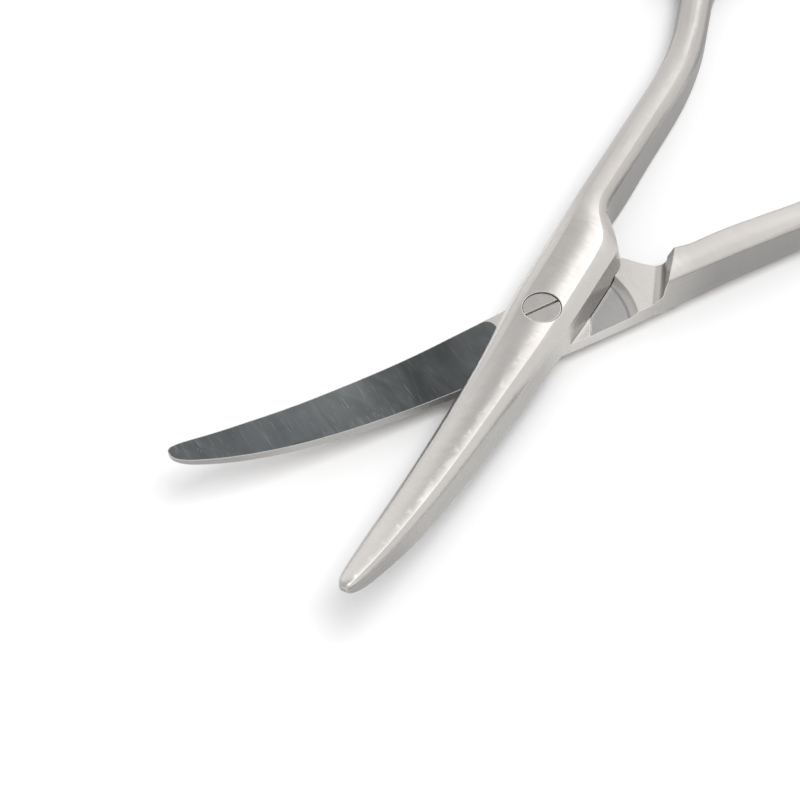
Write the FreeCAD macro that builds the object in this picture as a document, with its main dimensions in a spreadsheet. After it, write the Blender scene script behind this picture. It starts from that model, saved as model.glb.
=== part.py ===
import FreeCAD, Part
import math
import os

import Sketcher
from FreeCAD import Placement, Rotation, Vector

# Curved dissecting scissors, 170 mm long when closed.
# Row frame: +X along the bisector of the two blades towards the tips, +Z up along the screw axis,
# origin on the screw axis in the plane that the scissors lie on. Millimetres.
# Each half is drawn in its own frame: x from the screw towards its tip, z from the plane in which
# the two halves meet. The upper half has its cutting side at -y, the lower half at +y.

doc = FreeCAD.newDocument("dissecting_scissors")
sheet = doc.addObject("Spreadsheet::Sheet", "Dims")
values = {}


def put(alias, value, note=""):
    row = len(values) + 1
    sheet.set("A%d" % row, note or alias.replace("_", " "))
    sheet.set("B%d" % row, repr(round(float(value), 6)))
    sheet.setAlias("B%d" % row, alias)
    values[alias] = round(float(value), 6)
    return alias


class Lin:
    """A length as a sum of cells times numbers, with its value and its expression."""

    def __init__(self, *terms):
        self.terms = terms

    @property
    def value(self):
        return sum(k * values[a] for k, a in self.terms)

    @property
    def text(self):
        return " + ".join("%s * Dims.%s" % (repr(float(k)), a) for k, a in self.terms)

    def times(self, s):
        return Lin(*[(k * s, a) for k, a in self.terms])


def cell(alias, k=1.0):
    return Lin((k, alias))


# ---------------------------------------------------------------- dimensions
put("half_open", 16.15, "each blade from the bisector, degrees")
put("pivot_plane", 4.25, "meeting plane above the table")
put("gap", 0.05, "half the running gap between the halves")
put("disc_r", 13.9, "radius of the turned joint seat")
put("disc_flat_r", 12.4, "flat part of the joint seat")
put("neck_step", 0.5, "neck above the joint seat")
put("relief_r1", 6.9, "inner radius of the relieved ring")
put("relief_r2", 12.3, "outer radius of the relieved ring")
put("relief_depth", 0.15, "depth of the relieved ring")
put("step_arc_r", 2.5, "radius of the curved step")
put("curve_start", 14.2, "where the blades begin to rise")
put("curve_mid", 35.0, "where the rise gets tighter")
put("curve_r1", 135.0, "first radius of the rise")
put("curve_r2", 90.0, "second radius of the rise")
put("curve_end", 66.0, "end of the cut")
put("screw_head_r", 2.75)
put("seat_r", 2.77)
put("seat_z", 2.1)
put("head_top", 3.92)
put("pivot_r", 2.2)
put("pivot_bore_r", 2.25)
put("thread_r", 1.75)
put("slot_width", 0.42)
put("slot_depth", 0.6)
put("ring_back", 94.5, "ring centre behind the screw")
put("ring_out", 16.4, "ring centre beside the closed axis")
put("ring_half_gap", 6.5)
put("ring_end_r", 12.5)
put("ring_side_r", 20.865)
put("ring_side_off", 5.265)
put("ring_wall", 5.0)
put("ring_high", 6.0, "thickness of the finger rings")
put("ring_round", 2.2)
put("shank_end", 64.0)
put("shank_end_y", 3.0)
put("shank_turn", 17.0, "direction of the shank where the ring begins, degrees")
put("far", 9.0)
put("deep", 12.0)


def rise(r):
    """Height of the meeting surface at radius r: two tangent arcs, so that the halves slide past each other."""
    s, m = values["curve_start"], values["curve_mid"]
    r1, r2 = values["curve_r1"], values["curve_r2"]
    if r <= s:
        return 0.0
    if r <= m:
        return r1 - math.sqrt(r1 * r1 - (r - s) ** 2)
    a = math.asin((m - s) / r1)
    cx = m - r2 * math.sin(a)
    cz = r1 - math.sqrt(r1 * r1 - (m - s) ** 2) + r2 * math.cos(a)
    return cz - math.sqrt(r2 * r2 - (r - cx) ** 2)


# Sections of each half from the finger ring to the tip. Columns: x; outer (cutting-side) half-width and
# the height of its strip; two points of the dome; inner wall, top and foot; radii of the two flat-side corners
# (inner, outer); height of the flat side at its two corners (inner, outer). All seen with the dome on top.
UPPER = [
    # x,     c,    hs,    y1,    h1,   y2,    h2,    y3,    h3,    b,    rb,  ro,   zi,    zo
    (-64.0, 5.00, -0.45, -2.80, 1.75, -2.20, 1.75, 0.00, -0.45, 0.00, 2.20, 2.20, -4.25, -4.25),
    (-61.0, 7.34, 0.10, -5.25, 1.94, -4.15, 1.93, -2.20, 0.10, -2.18, 2.00, 2.00, -4.25, -4.25),
    (-57.0, 6.41, 0.85, -4.65, 2.22, -3.20, 2.20, -1.43, 0.75, -1.40, 1.70, 1.70, -4.25, -4.25),
    (-51.0, 5.60, 1.85, -4.10, 2.66, -2.35, 2.64, -0.80, 1.60, -0.76, 1.30, 1.30, -4.25, -4.25),
    (-43.0, 5.30, 2.55, -3.75, 3.20, -2.00, 3.18, -0.58, 2.15, -0.55, 1.10, 1.10, -4.25, -4.25),
    (-34.0, 5.15, 3.05, -3.45, 3.72, -1.85, 3.70, -0.45, 2.62, -0.42, 1.00, 1.00, -4.25, -4.25),
    (-27.0, 5.05, 3.35, -3.20, 4.05, -1.75, 4.02, -0.40, 2.90, -0.36, 0.90, 0.90, -4.25, -4.25),
    (-23.2, 5.02, 3.42, -3.10, 4.18, -1.65, 4.14, -0.30, 3.00, -0.22, 0.90, 0.90, -4.25, -4.25),
    (-21.2, 5.00, 3.42, -3.00, 4.20, -1.25, 4.15, 0.22, 3.05, 0.30, 0.90, 0.90, -4.25, -4.25),
    (-19.2, 5.00, 3.38, -2.90, 4.20, -0.25, 4.15, 1.80, 3.12, 1.45, 0.90, 0.90, -4.25, -4.25),
    (-17.2, 5.00, 3.28, -2.80, 4.18, 1.15, 4.12, 3.38, 3.18, 3.70, 0.90, 0.90, -4.25, -4.25),
    (-15.4, 5.00, 3.16, -2.70, 4.15, 2.05, 4.06, 4.45, 3.20, 5.25, 0.90, 0.90, -4.25, -4.25),
    (-12.8, 5.00, 3.00, -2.60, 4.10, 2.45, 4.00, 4.66, 3.15, 5.50, 0.90, 0.90, -4.25, -4.25),
    (-8.0, 5.00, 2.80, -2.60, 4.05, 2.55, 3.95, 4.62, 3.10, 5.42, 0.90, 0.90, -4.25, -4.25),
    (-1.0, 4.95, 2.52, -2.55, 3.96, 2.58, 3.90, 4.50, 3.04, 5.25, 0.90, 0.90, -4.25, -4.25),
    (5.0, 4.62, 2.20, -2.25, 3.76, 2.50, 3.84, 4.22, 2.90, 4.88, 0.90, 0.90, -4.25, -4.25),
    (11.0, 4.34, 1.88, -1.92, 3.50, 2.25, 3.76, 3.86, 2.66, 4.60, 0.90, 0.90, -4.25, -4.25),
    (19.0, 4.06, 1.62, -1.60, 3.18, 1.85, 3.55, 3.40, 2.28, 4.20, 0.90, 0.90, -4.25, -4.25),
    (29.0, 3.71, 1.46, -1.32, 2.84, 1.50, 3.12, 2.95, 1.82, 3.82, 0.90, 0.90, -4.25, -4.25),
    (38.0, 3.32, 1.38, -1.12, 2.56, 1.18, 2.76, 2.52, 1.48, 3.36, 0.90, 0.90, -4.25, -4.25),
    (45.5, 2.85, 1.32, -0.92, 2.28, 0.95, 2.42, 2.12, 1.24, 2.86, 0.90, 0.90, -4.25, -4.25),
    (51.0, 2.35, 1.22, -0.72, 2.02, 0.76, 2.10, 1.74, 1.06, 2.28, 0.70, 0.70, -4.25, -4.25),
    (54.6, 1.90, 1.08, -0.54, 1.74, 0.58, 1.79, 1.38, 0.92, 1.86, 0.60, 0.60, -4.25, -4.25),
    (56.7, 1.46, 0.92, -0.40, 1.44, 0.42, 1.47, 1.02, 0.78, 1.43, 0.50, 0.50, -4.25, -4.25),
    (57.65, 0.98, 0.74, -0.26, 1.14, 0.27, 1.15, 0.68, 0.62, 0.98, 0.40, 0.40, -4.25, -4.25),
    (58.0, 0.52, 0.56, -0.13, 0.88, 0.14, 0.88, 0.36, 0.48, 0.52, 0.20, 0.20, -4.25, -4.25),
]
LOWER = [
    (-64.0, 5.00, 2.05, -2.80, 4.25, -2.20, 4.25, 0.00, 2.05, 0.00, 2.20, 2.20, -1.75, -1.75),
    (-61.0, 7.34, 1.75, -5.10, 4.23, -4.05, 4.23, -2.20, 2.38, -2.18, 1.90, 2.00, -1.95, -1.94),
    (-57.0, 6.41, 1.45, -4.25, 4.22, -3.05, 4.22, -1.43, 2.70, -1.40, 1.50, 1.60, -2.24, -2.19),
    (-51.0, 5.60, 1.20, -3.50, 4.22, -2.20, 4.22, -0.80, 2.95, -0.76, 1.20, 1.20, -2.70, -2.62),
    (-43.0, 5.30, 1.10, -3.15, 4.22, -1.85, 4.22, -0.58, 3.05, -0.55, 1.00, 0.90, -3.20, -3.08),
    (-34.0, 5.15, 1.10, -2.95, 4.22, -1.70, 4.22, -0.45, 3.10, -0.42, 0.55, 0.45, -3.82, -3.52),
    (-27.0, 5.05, 1.20, -2.90, 4.22, -1.65, 4.22, -0.40, 3.10, -0.36, 0.50, 0.40, -4.18, -3.82),
    (-23.2, 5.02, 1.40, -2.90, 4.22, -1.55, 4.22, -0.30, 3.10, -0.22, 0.50, 0.40, -4.26, -3.94),
    (-21.2, 5.00, 1.55, -2.90, 4.24, -1.25, 4.24, 0.22, 3.08, 0.30, 0.50, 0.40, -4.28, -3.98),
    (-19.2, 5.00, 1.70, -2.90, 4.26, -0.25, 4.26, 1.80, 3.12, 1.45, 0.80, 0.40, -4.28, -4.00),
    (-17.2, 5.00, 1.82, -2.85, 4.24, 1.15, 4.22, 3.38, 3.16, 3.70, 0.80, 0.40, -4.30, -4.02),
    (-15.4, 5.00, 1.90, -2.80, 4.20, 2.05, 4.17, 4.45, 3.18, 5.25, 0.80, 0.40, -4.32, -4.04),
    (-12.8, 5.00, 1.95, -2.75, 4.17, 2.45, 4.12, 4.66, 3.14, 5.50, 0.80, 0.40, -4.32, -4.05),
    (-8.0, 5.00, 1.92, -2.70, 4.14, 2.55, 4.08, 4.62, 3.08, 5.42, 0.80, 0.40, -4.32, -4.05),
    (-1.0, 4.95, 1.72, -2.60, 4.10, 2.55, 4.05, 4.50, 3.00, 5.25, 0.80, 0.40, -4.32, -4.05),
    (5.0, 4.62, 1.58, -2.28, 3.88, 2.45, 3.94, 4.22, 2.88, 4.88, 0.80, 0.40, -4.32, -4.05),
    (11.0, 4.34, 1.52, -1.95, 3.50, 2.20, 3.72, 3.86, 2.64, 4.60, 0.80, 0.40, -4.32, -4.05),
    (19.0, 4.06, 1.48, -1.62, 3.16, 1.85, 3.50, 3.40, 2.26, 4.20, 0.80, 0.40, -4.32, -4.05),
    (29.0, 3.71, 1.42, -1.32, 2.82, 1.50, 3.10, 2.95, 1.80, 3.82, 0.80, 0.40, -4.32, -4.05),
    (38.0, 3.32, 1.36, -1.12, 2.54, 1.18, 2.74, 2.52, 1.46, 3.36, 0.80, 0.40, -4.32, -4.05),
    (45.5, 2.85, 1.30, -0.92, 2.26, 0.95, 2.40, 2.12, 1.22, 2.86, 0.80, 0.40, -4.32, -4.05),
    (51.0, 2.35, 1.20, -0.72, 2.00, 0.76, 2.08, 1.74, 1.04, 2.28, 0.70, 0.40, -4.32, -4.05),
    (54.6, 1.90, 1.06, -0.54, 1.72, 0.58, 1.77, 1.38, 0.90, 1.86, 0.60, 0.40, -4.32, -4.05),
    (56.7, 1.46, 0.90, -0.40, 1.42, 0.42, 1.45, 1.02, 0.76, 1.43, 0.50, 0.35, -4.32, -4.05),
    (57.65, 0.98, 0.72, -0.26, 1.12, 0.27, 1.13, 0.68, 0.60, 0.98, 0.40, 0.30, -4.32, -4.05),
    (58.0, 0.52, 0.54, -0.13, 0.86, 0.14, 0.86, 0.36, 0.46, 0.52, 0.20, 0.20, -4.32, -4.05),
]


def circumradius(p, q, r):
    a, b, c = math.dist(p, q), math.dist(q, r), math.dist(p, r)
    area = abs((q[0] - p[0]) * (r[1] - p[1]) - (r[0] - p[0]) * (q[1] - p[1])) / 2
    return a * b * c / (4 * area)


def sag_radius(p, q, sag):
    half = math.dist(p, q) / 2
    return (half * half + sag * sag) / (2 * sag)


def smooth_dome(p, s1, leave, crease):
    """Three arcs that run into each other over the dome. p holds the four corners, s1 is how round the outer
    arc is, leave the slope with which the middle arc ends, crease the turn at the ridge (degrees).
    Gives the place where the outer arc ends and the three radii."""
    chord = math.dist(p[0], p[1])
    radius = sag_radius(p[0], p[1], s1 * chord)
    along = ((p[1][0] - p[0][0]) / chord, (p[1][1] - p[0][1]) / chord)
    depth = math.sqrt(radius * radius - chord * chord / 4)
    cx = (p[0][0] + p[1][0]) / 2 + along[1] * depth
    cy = (p[0][1] + p[1][1]) / 2 - along[0] * depth
    first = math.atan2(p[0][1] - cy, p[0][0] - cx)
    last = math.atan2(p[1][1] - cy, p[1][0] - cx)
    best = None
    for k in range(200, 1001):
        a = first + (last - first) * k / 1000.0
        q = (cx + radius * math.cos(a), cy + radius * math.sin(a))
        slope = a - math.pi / 2
        to_ridge = math.atan2(p[2][1] - q[1], p[2][0] - q[0])
        miss = abs(math.degrees(2 * to_ridge - slope) - leave)
        if slope > to_ridge + 0.02 and (best is None or miss < best[0]):
            best = (miss, q, slope - to_ridge)
    q, turn = best[1], best[2]
    middle = math.dist(q, p[2]) / (2 * math.sin(turn))
    down = math.atan2(p[3][1] - p[2][1], p[3][0] - p[2][0])
    turn = max(math.radians(leave - crease) - down, 0.06)
    back = math.dist(p[2], p[3]) / (2 * math.sin(turn))
    return q, radius, middle, back


COLUMNS = ("x", "c", "hs", "ya", "ha", "yb", "hb", "yc", "hc", "b", "rb", "ro", "zi", "zo")
for tag, rows in (("up", UPPER), ("low", LOWER)):
    for i, row in enumerate(rows):
        n = "%s_%s_" % (tag, chr(97 + i))
        if i > 0:
            crease = 3.0 if row[0] < -20 else 6.0 if row[0] < 12 else max(0.5, 6.0 - (row[0] - 12) * 0.2)
            (y1, h1), r1, r2, r3 = smooth_dome([(-row[1], row[2]), row[3:5], row[5:7], row[7:9]], 0.1545 if tag == "up" else 0.12, -8.0, crease)
            row = row[:3] + (round(y1, 4), round(h1, 4)) + row[5:]
        for column, value in zip(COLUMNS, row):
            put(n + column, value)
        x, c, hs, y1, h1, y2, h2, y3, h3, b, rb, ro, zi, zo = row
        if x > -20:  # the back wall keeps its slant below the meeting surface
            b = y3 + (b - y3) * (h3 - zi - rb) / h3
            values[n + "b"] = round(b, 6)
            sheet.set("B%d" % (list(values).index(n + "b") + 1), repr(round(b, 6)))
        put(n + "g", rise(x) if x > 0 else 0.0)
        end = i == 0
        put(n + "ra", rb if end else round(r1, 4))
        put(n + "rm", 400.0 if end or (tag == "low" and x < -26) else round(r2, 4))
        put(n + "rc", rb if end else round(r3, 4))
        put(n + "rf", 400.0 if end or tag == "up" else sag_radius((b - rb, zi), (-c + ro, zo), 0.05 * math.dist((b - rb, zi), (-c + ro, zo))))
        put(n + "tb", rb), put(n + "to", ro)


# ---------------------------------------------------------------- sketch helper
def plane_of(body, role):
    for f in body.Origin.OriginFeatures:
        if f.Role == role:
            return f


def sketch(body, name, role, corners, arcs=None, offset=None, circles=(), tilt=None):
    """A closed, fully dimensioned profile. corners are pairs of Lin (None for zero); arcs maps an edge
    number to (Lin radius, side), side +1 where the arc bulges to the left of its edge."""
    arcs = arcs or {}
    sk = body.newObject("Sketcher::SketchObject", name)
    sk.AttachmentSupport = [(plane_of(body, role), "")]
    sk.MapMode = "FlatFace"
    if tilt is not None:  # sideways shift and turn about the upright axis
        shift, angle, way = tilt
        sk.AttachmentOffset = Placement(Vector(shift.value, 0, offset.value), Rotation(Vector(0, way, 0), values[angle]))
        sk.setExpression("AttachmentOffset.Base.x", shift.text)
        sk.setExpression("AttachmentOffset.Rotation.Angle", "Dims." + angle)
    elif offset is not None:
        sk.AttachmentOffset = Placement(Vector(0, 0, offset.value), Rotation())
    if offset is not None:
        sk.setExpression("AttachmentOffset.Base.z", offset.text)
    num = [(a.value if a else 0.0, b.value if b else 0.0) for a, b in corners]
    count = len(num)
    ends = []
    for i in range(count):
        p, q = num[i], num[(i + 1) % count]
        P, Q = Vector(p[0], p[1], 0), Vector(q[0], q[1], 0)
        if i in arcs:
            radius, side = arcs[i]
            R = radius.value
            half = math.dist(p, q) / 2
            d = math.sqrt(max(R * R - half * half, 0.0))
            L = 2 * half
            rx, ry = (q[1] - p[1]) / L, -(q[0] - p[0]) / L  # right of the direction of travel
            cx = (p[0] + q[0]) / 2 + side * rx * d
            cy = (p[1] + q[1]) / 2 + side * ry * d
            ap, aq = math.atan2(p[1] - cy, p[0] - cx), math.atan2(q[1] - cy, q[0] - cx)
            circle = Part.Circle(Vector(cx, cy, 0), Vector(0, 0, 1), R)
            if side > 0:  # clockwise travel: the arc starts at q
                g = sk.addGeometry(Part.ArcOfCircle(circle, aq, ap), False)
                ends.append((g, 2, 1))
            else:
                g = sk.addGeometry(Part.ArcOfCircle(circle, ap, aq), False)
                ends.append((g, 1, 2))
        else:
            g = sk.addGeometry(Part.LineSegment(P, Q), False)
            ends.append((g, 1, 2))
    for i in range(count):
        a, b = ends[i - 1], ends[i]
        sk.addConstraint(Sketcher.Constraint("Coincident", a[0], a[2], b[0], b[1]))
    for i, (cx, cy) in enumerate(corners):
        g, start, _ = ends[i]
        if cx:
            k = sk.addConstraint(Sketcher.Constraint("DistanceX", -1, 1, g, start, cx.value))
            sk.setExpression("Constraints[%d]" % k, cx.text)
        else:
            sk.addConstraint(Sketcher.Constraint("PointOnObject", g, start, -2))
        if cy:
            k = sk.addConstraint(Sketcher.Constraint("DistanceY", -1, 1, g, start, cy.value))
            sk.setExpression("Constraints[%d]" % k, cy.text)
        else:
            sk.addConstraint(Sketcher.Constraint("PointOnObject", g, start, -1))
    for i, (radius, side) in arcs.items():
        k = sk.addConstraint(Sketcher.Constraint("Radius", ends[i][0], radius.value))
        sk.setExpression("Constraints[%d]" % k, radius.text)
    for radius in circles:
        g = sk.addGeometry(Part.Circle(Vector(0, 0, 0), Vector(0, 0, 1), radius.value), False)
        sk.addConstraint(Sketcher.Constraint("Coincident", g, 3, -1, 1))
        k = sk.addConstraint(Sketcher.Constraint("Radius", g, radius.value))
        sk.setExpression("Constraints[%d]" % k, radius.text)
    return sk


# ---------------------------------------------------------------- the two halves
def ring_outline(s):
    """Corners and radii of the finger ring's outside, from the shank's inner line round to its outer line,
    with a hollow curve on each side where the shank flows into the ring."""
    xc, yc = -values["ring_back"], -values["ring_out"]
    hg, re, rs, off = (values[k] for k in ("ring_half_gap", "ring_end_r", "ring_side_r", "ring_side_off"))

    def tangent(p, angle, side, radius, centre, ring_r):
        ux, uy = -math.cos(angle), -math.sin(angle)
        nx, ny = (uy * side, -ux * side)
        lo, hi = -5.0, 60.0
        # march along the line until the circle beside it just touches the ring
        best = None
        t = lo
        while t < hi:
            fx, fy = p[0] + t * ux + radius * nx, p[1] + t * uy + radius * ny
            miss = math.dist((fx, fy), centre) - (ring_r + radius)
            if miss <= 0:
                best = t
                break
            t += 0.25
        a, b = best - 0.25, best
        for _ in range(60):
            mid = (a + b) / 2
            fx, fy = p[0] + mid * ux + radius * nx, p[1] + mid * uy + radius * ny
            if math.dist((fx, fy), centre) - (ring_r + radius) > 0:
                a = mid
            else:
                b = mid
        fx, fy = p[0] + b * ux + radius * nx, p[1] + b * uy + radius * ny
        on_line = (p[0] + b * ux, p[1] + b * uy)
        k = ring_r / (ring_r + radius)
        on_ring = (centre[0] + (fx - centre[0]) * k, centre[1] + (fy - centre[1]) * k)
        return on_line, on_ring

    turn, wide = math.radians(values["shank_turn"]), values["ring_wall"]
    pin = (-values["shank_end"], -values["shank_end_y"])
    pout = (pin[0] + wide * math.sin(turn), pin[1] - wide * math.cos(turn))
    upper_centre = (xc, yc - off)
    end_centre = (xc + hg, yc)
    in_line, in_ring = tangent(pin, turn, 1, 16.0, upper_centre, rs)
    out_line, out_ring = tangent(pout, turn, -1, 8.0, end_centre, re)
    a = math.atan2(off, hg)
    join = lambda sx, sy: (xc + sx * (hg + re * math.cos(a)), yc + sy * re * math.sin(a))
    pts = [pin, in_line, in_ring, join(-1, 1), join(-1, -1), join(1, -1), out_ring, out_line, pout]
    radii = [None, 16.0, rs, re, rs, re, 8.0, None, None]
    sides = [0, 1, -1, -1, -1, -1, 1, 0, 0]
    return pts, radii, sides


RING = ring_outline(1)
for i, (px, py) in enumerate(RING[0]):
    put("ring_%s_x" % chr(97 + i), px), put("ring_%s_y" % chr(97 + i), py)
for i, r in enumerate(RING[1]):
    if r:
        put("ring_%s_r" % chr(97 + i), r)
A = math.atan2(values["ring_side_off"], values["ring_half_gap"])
inner_end = values["ring_end_r"] - values["ring_wall"]
put("hole_end_r", inner_end), put("hole_side_r", values["ring_side_r"] - values["ring_wall"])
put("hole_dx", values["ring_half_gap"] + inner_end * math.cos(A)), put("hole_dy", inner_end * math.sin(A))


def half(name, s):
    """s is +1 for the upper half and -1 for the lower half."""
    body = doc.addObject("PartDesign::Body", name)
    body.Label = name
    tag = "up" if s > 0 else "low"

    # finger ring with the hollow curves that lead into it
    pts, radii, sides = RING
    corners = [(cell("ring_%s_x" % chr(97 + i)), cell("ring_%s_y" % chr(97 + i), s)) for i in range(len(pts))]
    arcs = {i: (cell("ring_%s_r" % chr(97 + i)), s * sides[i]) for i, r in enumerate(radii) if r}
    ring_profile = sketch(body, "%s_ring_outline" % tag, "XY_Plane", corners, arcs, cell("pivot_plane", -1.0))
    ring = body.newObject("PartDesign::Pad", "%s_ring" % tag)
    ring.Profile = ring_profile
    ring.Length = values["ring_high"]
    ring.setExpression("Length", "Dims.ring_high")
    hole = []
    for sx, sy in ((1, 1), (-1, 1), (-1, -1), (1, -1)):
        hole.append((
            Lin((-1.0, "ring_back"), (float(sx), "hole_dx")),
            Lin((-float(s), "ring_out"), (float(sy * s), "hole_dy")),
        ))
    hole_arcs = {0: (cell("hole_side_r"), -s), 1: (cell("hole_end_r"), -s), 2: (cell("hole_side_r"), -s), 3: (cell("hole_end_r"), -s)}
    hole_profile = sketch(body, "%s_hole_outline" % tag, "XY_Plane", hole, hole_arcs, cell("pivot_plane", -1.0))
    doc.recompute()
    before = body.Shape.Volume
    opening = body.newObject("PartDesign::Pocket", "%s_finger_hole" % tag)
    opening.Profile = hole_profile
    opening.Type = "Length"
    opening.Length = 30.0
    opening.Midplane = True
    doc.recompute()
    print(tag, "finger hole", round(before - body.Shape.Volume, 1), "mm3")
    low_z, high_z = -values["pivot_plane"], values["ring_high"] - values["pivot_plane"]
    edges = []
    for k, e in enumerate(opening.Shape.Edges):
        bb = e.BoundBox
        flat = bb.ZLength < 1e-6 and (abs(bb.ZMin - low_z) < 1e-5 or abs(bb.ZMin - high_z) < 1e-5)
        start, end = (math.hypot(e.valueAt(t).x - p[0], e.valueAt(t).y - p[1] * s) for t, p in
                      ((e.FirstParameter, RING[0][0]), (e.LastParameter, RING[0][-1])))
        other = (math.hypot(e.valueAt(t).x - p[0], e.valueAt(t).y - p[1] * s) for t, p in
                 ((e.FirstParameter, RING[0][-1]), (e.LastParameter, RING[0][0])))
        if flat and max(start, end) > 1e-4 and max(other) > 1e-4:
            edges.append("Edge%d" % (k + 1))
    rounding = body.newObject("PartDesign::Fillet", "%s_ring_round" % tag)
    rounding.Base = (opening, edges)
    rounding.Radius = values["ring_round"]
    rounding.setExpression("Radius", "Dims.ring_round")
    doc.recompute()

    def section(i):
        n = "%s_%s_" % (tag, chr(97 + i))
        y = lambda c, k=1.0: cell(n + c, k * s)
        z = lambda c: Lin((1.0, n + "g"), (float(s), n + c))
        pts = [
            (y("c", -1.0), Lin((1.0, n + "g"), (float(s), n + "zo"), (float(s), n + "to"))),
            (y("c", -1.0), z("hs")), (y("ya"), z("ha")), (y("yb"), z("hb")), (y("yc"), z("hc")),
            (y("b"), Lin((1.0, n + "g"), (float(s), n + "zi"), (float(s), n + "tb"))),
            (Lin((float(s), n + "b"), (-float(s), n + "tb")), z("zi")),
            (Lin((-float(s), n + "c"), (float(s), n + "to")), z("zo")),
        ]
        arcs = {k: (cell(n + c), 1) for k, c in ((1, "ra"), (2, "rm"), (3, "rc"), (5, "rb"), (6, "rf"), (7, "ro"))}
        tilt = (cell("shank_end_y", -float(s)), "shank_turn", s) if i == 0 else None
        return sketch(body, "%s_section_%s" % (tag, chr(97 + i)), "YZ_Plane", pts, arcs, cell(n + "x"), tilt=tilt)

    loft = body.newObject("PartDesign::AdditiveLoft", "%s_forging" % tag)
    sections = [section(i) for i in range(len(UPPER))]
    loft.Profile = sections[0]
    loft.Sections = sections[1:]
    doc.recompute()
    print(tag, "forging", round(body.Shape.Volume, 1), len(body.Shape.Solids), body.Shape.isValid())

    # meeting surface along the blade: a surface turned about the screw axis
    up = float(s)
    g0 = cell("gap", up)
    a = math.asin((values["curve_mid"] - values["curve_start"]) / values["curve_r1"])
    mid_z = rise(values["curve_mid"])
    end_z = rise(values["curve_end"])
    if s > 0:
        put("curve_mid_z", mid_z), put("curve_end_z", end_z)
    far = -up
    pts = [
        (None, g0), (cell("curve_start"), g0),
        (cell("curve_mid"), Lin((1.0, "curve_mid_z"), (up, "gap"))),
        (cell("curve_end"), Lin((1.0, "curve_end_z"), (up, "gap"))),
        (cell("curve_end"), cell("deep", far if s > 0 else 2 * far)), (None, cell("deep", far if s > 0 else 2 * far)),
    ]
    cut_profile = sketch(body, "%s_blade_cut" % tag, "XZ_Plane", pts, {1: (cell("curve_r1"), -1), 2: (cell("curve_r2"), -1)})
    cut = body.newObject("PartDesign::Groove", "%s_face" % tag)
    cut.Profile = cut_profile
    cut.ReferenceAxis = (cut_profile, ["V_Axis"])
    cut.Angle = 120.0
    cut.Midplane = True
    doc.recompute()

    # turned seat behind the screw, with its curved step up to the neck
    if s > 0:
        pts = [
            (None, cell("gap")), (cell("disc_flat_r", -1.0), cell("gap")),
            (cell("disc_r", -1.0), Lin((1.0, "neck_step"), (1.0, "gap"))),
            (cell("disc_r", -1.0), cell("deep", -1.0)), (None, cell("deep", -1.0)),
        ]
        seat_profile = sketch(body, "up_seat_cut", "XZ_Plane", pts)
    else:
        pts = [
            (None, cell("gap", -1.0)), (cell("relief_r1", -1.0), cell("gap", -1.0)),
            (Lin((-1.0, "relief_r1"), (-1.0, "relief_depth")), Lin((-1.0, "gap"), (-1.0, "relief_depth"))),
            (cell("disc_flat_r", -1.0), Lin((-1.0, "gap"), (-1.0, "relief_depth"))),
            (cell("disc_r", -1.0), Lin((1.0, "neck_step"), (-1.0, "gap"))),
            (cell("disc_r", -1.0), cell("deep")), (None, cell("deep")),
        ]
        seat_profile = sketch(body, "low_seat_cut", "XZ_Plane", pts, {3: (cell("step_arc_r"), 1)})
    seat = body.newObject("PartDesign::Groove", "%s_seat" % tag)
    seat.Profile = seat_profile
    seat.ReferenceAxis = (seat_profile, ["V_Axis"])
    seat.Angle = 244.0
    seat.Midplane = True
    doc.recompute()

    # neck in front of the shoulder; the shoulder's wall stands upright at the foot and leans back above
    if s > 0:
        for alias, value in (
            ("sh_ax", -21.347), ("sh_ay", 0.6), ("sh_bx", -16.43), ("sh_by", -6.0), ("sh_cx", -16.43), ("sh_cy", -9.0),
            ("sh_dx", -26.8), ("sh_dy", 8.7), ("lean_in", 2.55), ("lean_out", 0.88), ("lean_from", 1.85), ("neck_open", 5.85),
            ("hidden_back", 1.0), ("foot_shown", 1.5), ("foot_hidden", 0.6),
        ):
            put(alias, value)
        arc_a = math.radians(128)
        put("neck_ax", values["disc_r"] * math.cos(arc_a)), put("neck_ay", values["disc_r"] * math.sin(arc_a))
    back = [(-1.0, "hidden_back")] if s > 0 else []
    before = body.Shape.Volume
    levels = []
    for n, rise_term, lean in (("foot", [], 0.0), ("wall", [(-up, "lean_from")], 0.0), ("top", [(-up, "neck_open")], 1.0)):
        def P(k, amount):
            leaning = [(-lean, amount)] if lean else []
            return (Lin((1.0, "sh_%sx" % k), *(leaning + back)), cell("sh_%sy" % k, s))
        pts = [
            (cell("neck_ax"), cell("neck_ay", s)), (cell("neck_ax"), cell("neck_ay", -s)),
            P("c", "lean_out"), P("b", "lean_out"), P("a", "lean_in"), P("d", "lean_in"),
        ]
        level = Lin((1.0, "neck_step"), (up, "gap"), *rise_term)
        levels.append(sketch(body, "%s_neck_%s" % (tag, n), "XY_Plane", pts, {0: (cell("disc_r"), s * -1)}, level))
    neck_z = Lin((1.0, "neck_step"), (up, "gap"))
    neck = body.newObject("PartDesign::SubtractiveLoft", "%s_neck" % tag)
    neck.Profile = levels[0]
    neck.Sections = levels[1:]
    neck.Ruled = True
    doc.recompute()
    print(tag, "neck cut", round(before - body.Shape.Volume, 1), "mm3")

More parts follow.
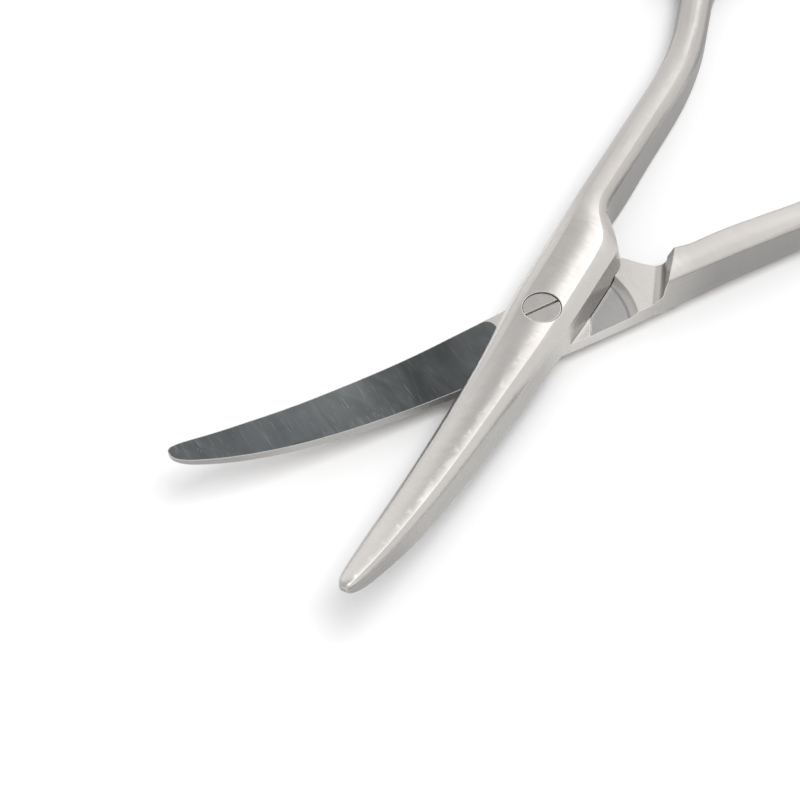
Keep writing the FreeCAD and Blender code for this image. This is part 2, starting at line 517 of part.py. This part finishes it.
    # hollow curve at the foot of the shoulder
    edges = []
    z_neck = neck_z.value
    moved = values["hidden_back"] if s > 0 else 0.0
    corner_points = [(values["sh_%sx" % k] - moved, values["sh_%sy" % k] * s) for k in "ab"]
    for k, e in enumerate(neck.Shape.Edges):
        bb = e.BoundBox
        if abs(bb.ZMin - z_neck) > 1e-4 or abs(bb.ZMax - z_neck) > 1e-4 or not isinstance(e.Curve, Part.Line):
            continue
        m = e.valueAt((e.FirstParameter + e.LastParameter) / 2)
        for p, q in zip(corner_points, corner_points[1:]):
            area = abs((q[0] - p[0]) * (m.y - p[1]) - (q[1] - p[1]) * (m.x - p[0]))
            if area < 1e-3 and min(p[0], q[0]) - 1e-6 <= m.x <= max(p[0], q[0]) + 1e-6:
                edges.append("Edge%d" % (k + 1))
    print(tag, "shoulder edges", edges)
    foot = body.newObject("PartDesign::Fillet", "%s_foot" % tag)
    foot.Base = (neck, edges)
    foot_size = "foot_hidden" if s > 0 else "foot_shown"
    foot.Radius = values[foot_size]
    foot.setExpression("Radius", "Dims.%s" % foot_size)
    doc.recompute()
    print(tag, "foot", foot.State, body.Shape.isValid())

    # the bulge is bevelled below, clear of the other half's shoulder when closed
    if s > 0:
        for alias, value in (("clear_wide", 1.15), ("clear_near", 0.12), ("clear_rise", 1.0), ("clear_end", 22.0), ("clear_far", 8.0), ("clear_y", 0.15), ("clear_x", -20.9)):
            put(alias, value)
        run = math.hypot(values["sh_bx"] - values["sh_ax"], values["sh_by"] - values["sh_ay"])
        nx, ny = -(values["sh_by"] - values["sh_ay"]) / run, -(values["sh_bx"] - values["sh_ax"]) / run
        levels = []
        for n, d, terms in (("low", "clear_wide", [(-1.0, "neck_step")]), ("mid", "clear_near", [(1.0, "clear_rise")]), ("high", "clear_near", [(1.0, "clear_far")])):
            pts = [
                (Lin((1.0, "clear_x"), (nx, d)), cell(d, ny)),
                (Lin((1.0, "sh_bx"), (nx, d)), Lin((-1.0, "sh_by"), (ny, d))),
                (Lin((1.0, "sh_bx"), (nx, d)), cell("clear_far")),
                (cell("clear_end", -1.0), cell("clear_far")), (cell("clear_end", -1.0), cell("clear_y")),
            ]
            level = Lin((1.0, "neck_step"), (up, "gap"), *terms)
            levels.append(sketch(body, "up_bevel_%s" % n, "XY_Plane", pts, None, level))
        before = body.Shape.Volume
        bevel = body.newObject("PartDesign::SubtractiveLoft", "up_bevel")
        bevel.Profile = levels[0]
        bevel.Sections = levels[1:]
        bevel.Ruled = True
        doc.recompute()
        print("up bevel", round(before - body.Shape.Volume, 2), "mm3", body.Shape.isValid())

    def round_cut(name, radius, z, length, midplane):
        profile = sketch(body, name + "_circle", "XY_Plane", [], None, z, (cell(radius),))
        before = body.Shape.Volume
        cut = body.newObject("PartDesign::Pocket", name)
        cut.Profile = profile
        cut.Type = "Length"
        cut.Length = length
        cut.Midplane = midplane
        cut.Reversed = not midplane
        doc.recompute()
        print(name, round(before - body.Shape.Volume, 2), "mm3")

    if s > 0:
        round_cut("up_screw_seat", "seat_r", cell("seat_z"), 10.0, False)
        round_cut("up_pivot_bore", "pivot_bore_r", cell("pivot_plane", 0.0), 16.0, True)
    else:
        # ground flat underneath, where the scissors rest
        far = [(cell("deep", 2.5), cell("deep")), (cell("deep", -2.5), cell("deep")),
               (cell("deep", -2.5), cell("deep", -1.0)), (cell("deep", 2.5), cell("deep", -1.0))]
        flat_profile = sketch(body, "low_flat_outline", "XY_Plane", far, None, cell("pivot_plane", -1.0))
        before = body.Shape.Volume
        flat = body.newObject("PartDesign::Pocket", "low_flat")
        flat.Profile = flat_profile
        flat.Type = "Length"
        flat.Length = 10.0
        flat.Reversed = False
        doc.recompute()
        print("low flat", round(before - body.Shape.Volume, 2), "mm3")
        round_cut("low_thread", "thread_r", cell("pivot_plane", 0.0), 30.0, True)

    body.Placement = Placement(Vector(0, 0, values["pivot_plane"]), Rotation(Vector(0, 0, s), values["half_open"]))
    body.setExpression("Placement.Base.z", "Dims.pivot_plane")
    body.setExpression("Placement.Rotation.Angle", "Dims.half_open")
    doc.recompute()
    return body


def screw():
    body = doc.addObject("PartDesign::Body", "joint_screw")
    body.Label = "joint_screw"
    put("screw_chamfer", 0.15), put("head_in", 2.6)
    pts = [
        (None, cell("pivot_plane", -1.0)), (cell("thread_r"), cell("pivot_plane", -1.0)),
        (cell("thread_r"), cell("gap", -1.0)), (cell("pivot_r"), cell("gap", -1.0)),
        (cell("pivot_r"), cell("seat_z")), (cell("screw_head_r"), cell("seat_z")),
        (cell("screw_head_r"), Lin((1.0, "head_top"), (-1.0, "screw_chamfer"))),
        (cell("head_in"), cell("head_top")), (None, cell("head_top")),
    ]
    profile = sketch(body, "screw_outline", "XZ_Plane", pts)
    turned = body.newObject("PartDesign::Revolution", "screw_turned")
    turned.Profile = profile
    turned.ReferenceAxis = (profile, ["V_Axis"])
    turned.Angle = 360.0
    doc.recompute()
    w = [(cell("deep", 0.5), cell("slot_width", 0.5)), (cell("deep", -0.5), cell("slot_width", 0.5)),
         (cell("deep", -0.5), cell("slot_width", -0.5)), (cell("deep", 0.5), cell("slot_width", -0.5))]
    slot_profile = sketch(body, "slot_outline", "XY_Plane", w, None, Lin((1.0, "head_top"), (-1.0, "slot_depth")))
    before = body.Shape.Volume
    slot = body.newObject("PartDesign::Pocket", "screw_slot")
    slot.Profile = slot_profile
    slot.Type = "Length"
    slot.Length = 5.0
    slot.Reversed = True
    doc.recompute()
    print("slot", round(before - body.Shape.Volume, 2), "mm3")
    body.Placement = Placement(Vector(0, 0, values["pivot_plane"]), Rotation(Vector(0, 0, -1), values["half_open"]))
    body.setExpression("Placement.Base.z", "Dims.pivot_plane")
    body.setExpression("Placement.Rotation.Angle", "Dims.half_open")
    doc.recompute()
    return body


parts = [half("upper_half", 1), half("lower_half", -1), screw()]
doc.recompute()
bad = [o.Name for o in doc.Objects if "Invalid" in o.State or "Error" in o.State]
for b in parts:
    s = b.Shape
    print(b.Label, s.isValid(), s.ShapeType, len(s.Solids), round(s.Volume, 1), s.BoundBox)
    if s.isNull() or not s.isValid() or len(s.Solids) != 1:
        bad.append(b.Label)
if bad:
    raise RuntimeError("not sound: %s" % ", ".join(bad))
os.makedirs("parts", exist_ok=True)
for b in parts:
    b.Shape.exportStep("parts/%s.step" % b.Label)
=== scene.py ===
import math

import bpy
from mathutils import Matrix, Vector

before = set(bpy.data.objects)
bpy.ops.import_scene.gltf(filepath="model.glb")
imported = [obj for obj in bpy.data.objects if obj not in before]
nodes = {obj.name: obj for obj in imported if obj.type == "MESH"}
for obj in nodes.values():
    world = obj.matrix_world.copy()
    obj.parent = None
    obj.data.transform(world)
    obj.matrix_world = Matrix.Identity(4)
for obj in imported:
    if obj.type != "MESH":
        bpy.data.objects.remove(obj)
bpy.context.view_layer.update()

H0 = 0.00425  # the plane in which the two halves meet


# ---------------------------------------------------------------- node helper
class Tree:
    def __init__(self, name):
        self.mat = bpy.data.materials.new(name)
        self.mat.use_nodes = True
        self.t = self.mat.node_tree
        self.t.nodes.clear()
        self.n = 0

    def add(self, kind, inputs=None, **props):
        node = self.t.nodes.new(kind)
        node.location = (220 * (self.n % 12), -260 * (self.n // 12))
        self.n += 1
        for k, v in props.items():
            setattr(node, k, v)
        for k, v in (inputs or {}).items():
            socket = node.inputs[k]
            if hasattr(v, "is_output") or isinstance(v, bpy.types.NodeSocket):
                self.t.links.new(v, socket)
            else:
                socket.default_value = v
        return node

    def math(self, op, a, b=None, c=None, clamp=False):
        ins = {0: a}
        if b is not None:
            ins[1] = b
        if c is not None:
            ins[2] = c
        return self.add("ShaderNodeMath", ins, operation=op, use_clamp=clamp).outputs[0]

    def mix(self, fac, a, b):
        node = self.add("ShaderNodeMix", {}, data_type="RGBA")
        for i, v in ((0, fac), (6, a), (7, b)):
            if isinstance(v, bpy.types.NodeSocket):
                self.t.links.new(v, node.inputs[i])
            else:
                node.inputs[i].default_value = v
        return node.outputs[2]

    def range(self, v, a, b, c=0.0, d=1.0, smooth=False):
        return self.add(
            "ShaderNodeMapRange", {0: v, 1: a, 2: b, 3: c, 4: d},
            interpolation_type="SMOOTHSTEP" if smooth else "LINEAR",
        ).outputs[0]


def steel(name, angle, reflection_tone, side, tint=1.0):
    """Satin stainless steel, ground across each half, with polished faces where the blades meet that are painted dark
    as a reflection, painted highlights on the edges, and painted shade on the sides and in the seat hollow.
    side is +1 for the half whose meeting faces look up, -1 for the other."""
    t = Tree(name)
    vec = lambda op, x, y=None, s=None: t.add(
        "ShaderNodeVectorMath", {k: v for k, v in ((0, x), (1, y), (3, s)) if v is not None}, operation=op)
    coord = t.add("ShaderNodeTexCoord").outputs["Object"]
    local = t.add("ShaderNodeMapping", {0: coord, 1: (0, 0, -H0), 2: (0, 0, -angle)}, vector_type="POINT").outputs[0]
    sep = t.add("ShaderNodeSeparateXYZ", {0: local})
    X, Y, Z = sep.outputs
    noise = lambda scale, detail=2.0, rough=0.55, w=0.0: t.add(
        "ShaderNodeTexNoise",
        {"Vector": t.add("ShaderNodeMapping", {0: local, 1: (w, w * 0.37, w * 0.11), 3: scale}).outputs[0],
         "Scale": 1.0, "Detail": detail, "Roughness": rough}).outputs[0]

    # grain: crosswise grinding lines, a few long ones from the last polish, soft clouds
    across = noise((7000, 500, 600), 2.0, 0.6)
    across_wide = noise((2600, 260, 300), 2.0, 0.5, 0.3)
    along = noise((160, 3800, 3800), 2.0, 0.6, 0.7)
    cloud = noise((70, 110, 110), 3.0, 0.6, 1.3)

    # where the blades meet: polished faces in front of the joint disc
    normal = t.add("ShaderNodeNewGeometry").outputs["Normal"]
    own = t.add("ShaderNodeVectorTransform", {0: normal}, vector_type="NORMAL", convert_from="WORLD", convert_to="OBJECT").outputs[0]
    up = t.add("ShaderNodeSeparateXYZ", {0: own}).outputs[2]
    # the polish starts across the half at 5.5 mm from the screw, with a rounded corner at the back edge
    corner_x = t.math("MINIMUM", t.math("SUBTRACT", X, 0.0070), 0.0)
    corner_y = t.math("MINIMUM", t.math("SUBTRACT", t.math("MULTIPLY", Y, float(side)), -0.0033), 0.0)
    corner = t.math("SQRT", t.math("ADD", t.math("MULTIPLY", corner_x, corner_x), t.math("MULTIPLY", corner_y, corner_y)))
    front = t.math("MULTIPLY", t.range(corner, 0.00155, 0.00145), t.math("GREATER_THAN", X, 0.0))
    facing = t.range(t.math("MULTIPLY", up, side), 0.80, 0.86)
    inner = t.math("MULTIPLY", front, facing)

    # scratches and specks on the polished faces
    scr_a = t.range(noise((7000, 240, 10), 1.0, 0.5, 2.1), 0.66, 0.78)
    scr_b = t.range(t.add("ShaderNodeTexNoise", {
        "Vector": t.add("ShaderNodeMapping", {0: local, 2: (0, 0, 0.7), 3: (6500, 150, 10)}).outputs[0],
        "Scale": 1.0, "Detail": 1.0, "Roughness": 0.5}).outputs[0], 0.68, 0.80)
    speck = t.range(noise((3200, 3200, 3200), 1.0, 0.5, 3.3), 0.735, 0.79)
    marks = t.math("MAXIMUM", t.math("MAXIMUM", scr_a, scr_b), speck)
    marks = t.math("MULTIPLY", marks, t.range(cloud, 0.35, 0.6, 0.3, 1.0))
    # painted reflection on the polish: lighter slantwise streaks, lighter near the joint and in a band around 30 mm
    # from the screw
    streak_noise = t.add("ShaderNodeTexNoise", {
        "Vector": t.add("ShaderNodeMapping", {0: local, 1: (0.2, 0.1, 0), 2: (0, 0, 0.5), 3: (230, 105, 30)}).outputs[0],
        "Scale": 1.0, "Detail": 5.0, "Roughness": 0.58, "Distortion": 1.2}).outputs[0]
    reflection_near_joint = t.range(X, 0.017, 0.007, 0.0, 0.45, smooth=True)
    reflection_band = t.math("MULTIPLY", t.range(X, 0.020, 0.029, 0.0, 1.0, smooth=True), t.range(X, 0.040, 0.031, 0.0, 1.0, smooth=True))
    reflection_haze = t.math("ADD", t.math("MULTIPLY", t.range(streak_noise, 0.36, 0.72), 0.42), t.math("ADD", reflection_near_joint, t.math("MULTIPLY", reflection_band, 0.4)), clamp=True)

    # edges: worn, and painted bright as a highlight along every edge
    bevel = t.add("ShaderNodeBevel", {"Radius": 0.00018}, samples=6).outputs[0]
    turn = vec("DOT_PRODUCT", bevel, normal).outputs["Value"]
    edge_highlight = t.range(turn, 0.99, 0.93)

    # colour
    tone = lambda r, g, b: (r * tint, g * tint, b * tint, 1)
    satin = t.mix(t.range(across, 0.3, 0.7), tone(0.618, 0.591, 0.567), tone(0.636, 0.607, 0.583))
    satin = t.mix(t.range(cloud, 0.3, 0.75), satin, tone(0.665, 0.640, 0.617))
    # the drafted sides are ground coarser, and are also painted darker as shade
    steep = t.range(t.math("ABSOLUTE", up), 0.72, 0.50)
    side_grind_and_shade = t.mix(t.range(along, 0.35, 0.65), (0.40, 0.392, 0.379, 1), (0.43, 0.422, 0.408, 1))
    # painted light: the sides are lighter near the joint
    painted_light_by_joint = t.math("MULTIPLY", t.range(X, -0.020, -0.008, smooth=True), t.range(X, 0.010, 0.000, smooth=True))
    side_grind_and_shade = t.mix(painted_light_by_joint, side_grind_and_shade, (0.60, 0.585, 0.562, 1))
    # painted shade: the sides are darker towards the tip and on the shank
    painted_shade_far = t.math("ADD", t.range(X, 0.040, 0.050, 0.0, 0.9), t.range(X, -0.019, -0.026, 0.0, 0.9))
    side_grind_and_shade = t.mix(painted_shade_far, side_grind_and_shade, (0.31, 0.305, 0.297, 1))
    satin = t.mix(steep, satin, side_grind_and_shade)
    # painted shade in the hollow of the seat, behind the screw
    hollow_shade = t.math("MULTIPLY", t.math("MULTIPLY", t.range(t.math("MULTIPLY", Z, float(side)), -0.00012, -0.00017), t.math("LESS_THAN", X, -0.004)), facing)
    satin = t.mix(hollow_shade, satin, t.mix(t.range(cloud, 0.3, 0.7), (0.36, 0.355, 0.353, 1), (0.42, 0.412, 0.407, 1)))
    # the tip is polished
    tip = t.range(X, 0.0558, 0.0566)
    # near white for the painted highlight on the edges
    highlight_white = (0.95, 0.94, 0.92, 1)
    # painted reflection: the polished faces are coloured dark for the dark room they mirror; the scratches and specks
    # on them are real marks
    reflection_and_marks = t.mix(reflection_haze, (*[reflection_tone * c for c in (0.90, 0.97, 1.0)], 1), (*[reflection_tone * 2.2 * c for c in (0.93, 0.98, 1.0)], 1))
    # painted reflection, darker towards the tip
    reflection_and_marks = t.mix(t.range(X, 0.030, 0.048, 0.0, 0.60), reflection_and_marks, (0.020, 0.022, 0.023, 1))
    reflection_and_marks = t.mix(t.math("MULTIPLY", marks, 0.22), reflection_and_marks, (0.62, 0.64, 0.65, 1))
    colour = t.mix(inner, satin, reflection_and_marks)
    # painted highlight: the edges are coloured near white
    colour = t.mix(t.math("MULTIPLY", edge_highlight, 0.85), colour, highlight_white)

    # roughness
    r_satin = t.math("ADD", t.range(across_wide, 0.3, 0.7, 0.225, 0.275), t.range(along, 0.35, 0.7, -0.01, 0.015))
    # the shanks are left more matt
    r_satin = t.math("ADD", r_satin, t.range(X, -0.015, -0.024, 0.0, 0.20, smooth=True))
    r_satin = t.math("SUBTRACT", r_satin, t.math("MULTIPLY", tip, 0.14))
    r_dark = t.math("ADD", t.range(reflection_haze, 0.0, 1.0, 0.12, 0.22), t.math("MULTIPLY", marks, 0.12))
    rough = t.math("ADD", t.math("MULTIPLY", r_satin, t.math("SUBTRACT", 1.0, inner)), t.math("MULTIPLY", r_dark, inner))

    # relief
    bump1 = t.add("ShaderNodeBump", {"Strength": 0.015, "Distance": 0.00002, "Height": across, "Normal": bevel})
    bump2 = t.add("ShaderNodeBump", {"Strength": 0.015, "Distance": 0.00002, "Height": along, "Normal": bump1.outputs[0]})

    bsdf = t.add("ShaderNodeBsdfPrincipled")
    bsdf.inputs["Metallic"].default_value = 1.0
    bsdf.inputs["Anisotropic"].default_value = 0.6
    t.t.links.new(colour, bsdf.inputs["Base Color"])
    t.t.links.new(rough, bsdf.inputs["Roughness"])
    t.t.links.new(bump2.outputs[0], bsdf.inputs["Normal"])
    lengthwise = t.add("ShaderNodeVectorTransform", {0: (math.cos(angle), math.sin(angle), 0.0)},
                       vector_type="VECTOR", convert_from="OBJECT", convert_to="WORLD").outputs[0]
    t.t.links.new(lengthwise, bsdf.inputs["Tangent"])
    out = t.add("ShaderNodeOutputMaterial")
    t.t.links.new(bsdf.outputs[0], out.inputs[0])
    return t.mat


HALF = math.radians(16.15)
upper_mat = steel("upper_steel", HALF, 0.095, -1)
lower_mat = steel("lower_steel", -HALF, 0.095, 1)
screw_mat = steel("screw_steel", -HALF, 0.135, 0, 0.78)
for name, mat in (("upper_half", upper_mat), ("lower_half", lower_mat), ("joint_screw", screw_mat)):
    o = nodes[name]
    o.data.materials.clear()
    o.data.materials.append(mat)

# ---------------------------------------------------------------- floor
bpy.ops.mesh.primitive_plane_add(size=3.0, location=(0, 0, -0.0001))
floor = bpy.context.object
floor.name = "floor"
ft = Tree("floor")
fb = ft.add("ShaderNodeBsdfPrincipled")
fb.inputs["Base Color"].default_value = (0.9, 0.9, 0.9, 1)
fb.inputs["Roughness"].default_value = 0.6
fb.inputs["Specular IOR Level"].default_value = 0.2
fo = ft.add("ShaderNodeOutputMaterial")
ft.t.links.new(fb.outputs[0], fo.inputs[0])
floor.data.materials.append(ft.mat)

# ---------------------------------------------------------------- light
world = bpy.data.worlds.new("studio")
bpy.context.scene.world = world
world.use_nodes = True


class WorldTree(Tree):
    def __init__(self, w):
        self.t = w.node_tree
        self.t.nodes.clear()
        self.n = 0


right = Vector((-0.6905, 0.7233, 0)).normalized()
away = Vector((-0.7233, -0.6905, 0)).normalized()


def toward(az, el):
    """Direction with az turned to the right from the photograph's line of sight, el above the floor."""
    az, el = math.radians(az), math.radians(el)
    return away * (math.cos(el) * math.cos(az)) + right * (math.cos(el) * math.sin(az)) + Vector((0, 0, math.sin(el)))


wt = WorldTree(world)
ray = wt.add("ShaderNodeTexCoord").outputs["Generated"]
level = 0.60  # even light of the room
# soft boxes: turned right, height, inner and outer half angle, strength
for az, el, inner_a, outer_a, power in (
    (30, 66, 4, 24, 0.40),
    (-6, 14, 5, 34, 0.50),
    (68, 36, 5, 38, 0.38),
    (-60, 20, 5, 50, 0.10),
    (180, 40, 10, 60, 0.25),
):
    d = wt.add("ShaderNodeVectorMath", {0: ray, 1: tuple(toward(az, el))}, operation="DOT_PRODUCT").outputs["Value"]
    lobe = wt.range(d, math.cos(math.radians(outer_a)), math.cos(math.radians(inner_a)), 0.0, power, smooth=True)
    level = wt.math("ADD", lobe, level)
# a tall strip light behind the object
across_strip = wt.math("ABSOLUTE", wt.add("ShaderNodeVectorMath", {0: ray, 1: tuple(toward(113, 0))}, operation="DOT_PRODUCT").outputs["Value"])
ahead = wt.add("ShaderNodeVectorMath", {0: ray, 1: tuple(toward(23, 0))}, operation="DOT_PRODUCT").outputs["Value"]
height = wt.add("ShaderNodeSeparateXYZ", {0: ray}).outputs[2]
strip = wt.math("MULTIPLY", wt.range(across_strip, 0.19, 0.08, 0.0, 1.25, smooth=True), wt.range(ahead, 0.1, 0.3))
strip = wt.math("MULTIPLY", strip, wt.range(height, 0.92, 0.80, smooth=True))
level = wt.math("ADD", strip, level)
sky = wt.add("ShaderNodeBackground", {0: (1, 1, 1, 1), 1: level})
wo = wt.add("ShaderNodeOutputWorld")
wt.t.links.new(sky.outputs[0], wo.inputs[0])


def area(name, place, aim, sx, sy, watts, glossy=True):
    data = bpy.data.lights.new(name, "AREA")
    data.shape = "RECTANGLE"
    data.size, data.size_y = sx, sy
    data.energy = watts
    o = bpy.data.objects.new(name, data)
    bpy.context.collection.objects.link(o)
    o.location = place
    o.rotation_euler = (Vector(aim) - Vector(place)).to_track_quat("-Z", "Y").to_euler()
    o.visible_glossy = glossy
    return o


area("key", away * -0.24 + right * 0.20 + Vector((0, 0, 0.9)), (0, 0, 0), 0.5, 0.5, 4.6, glossy=False)

# ---------------------------------------------------------------- camera
el = math.radians(51.22)
upward = away * math.sin(el) + Vector((0, 0, 1)) * math.cos(el)
forward = away * math.cos(el) - Vector((0, 0, 1)) * math.sin(el)
place = Vector((0, 0, H0)) - (right * 0.01975 + upward * 0.01039 + forward * 0.419)
cam_data = bpy.data.cameras.new("camera")
cam = bpy.data.objects.new("camera", cam_data)
bpy.context.collection.objects.link(cam)
cam.matrix_world = Matrix((
    (right.x, upward.x, -forward.x, place.x),
    (right.y, upward.y, -forward.y, place.y),
    (right.z, upward.z, -forward.z, place.z),
    (0, 0, 0, 1),
))
cam_data.sensor_width = 36.0
cam_data.lens = 134.66
cam_data.clip_start = 0.01
cam_data.clip_end = 20.0
bpy.context.scene.camera = cam

bpy.context.scene.view_settings.view_transform = "Standard"
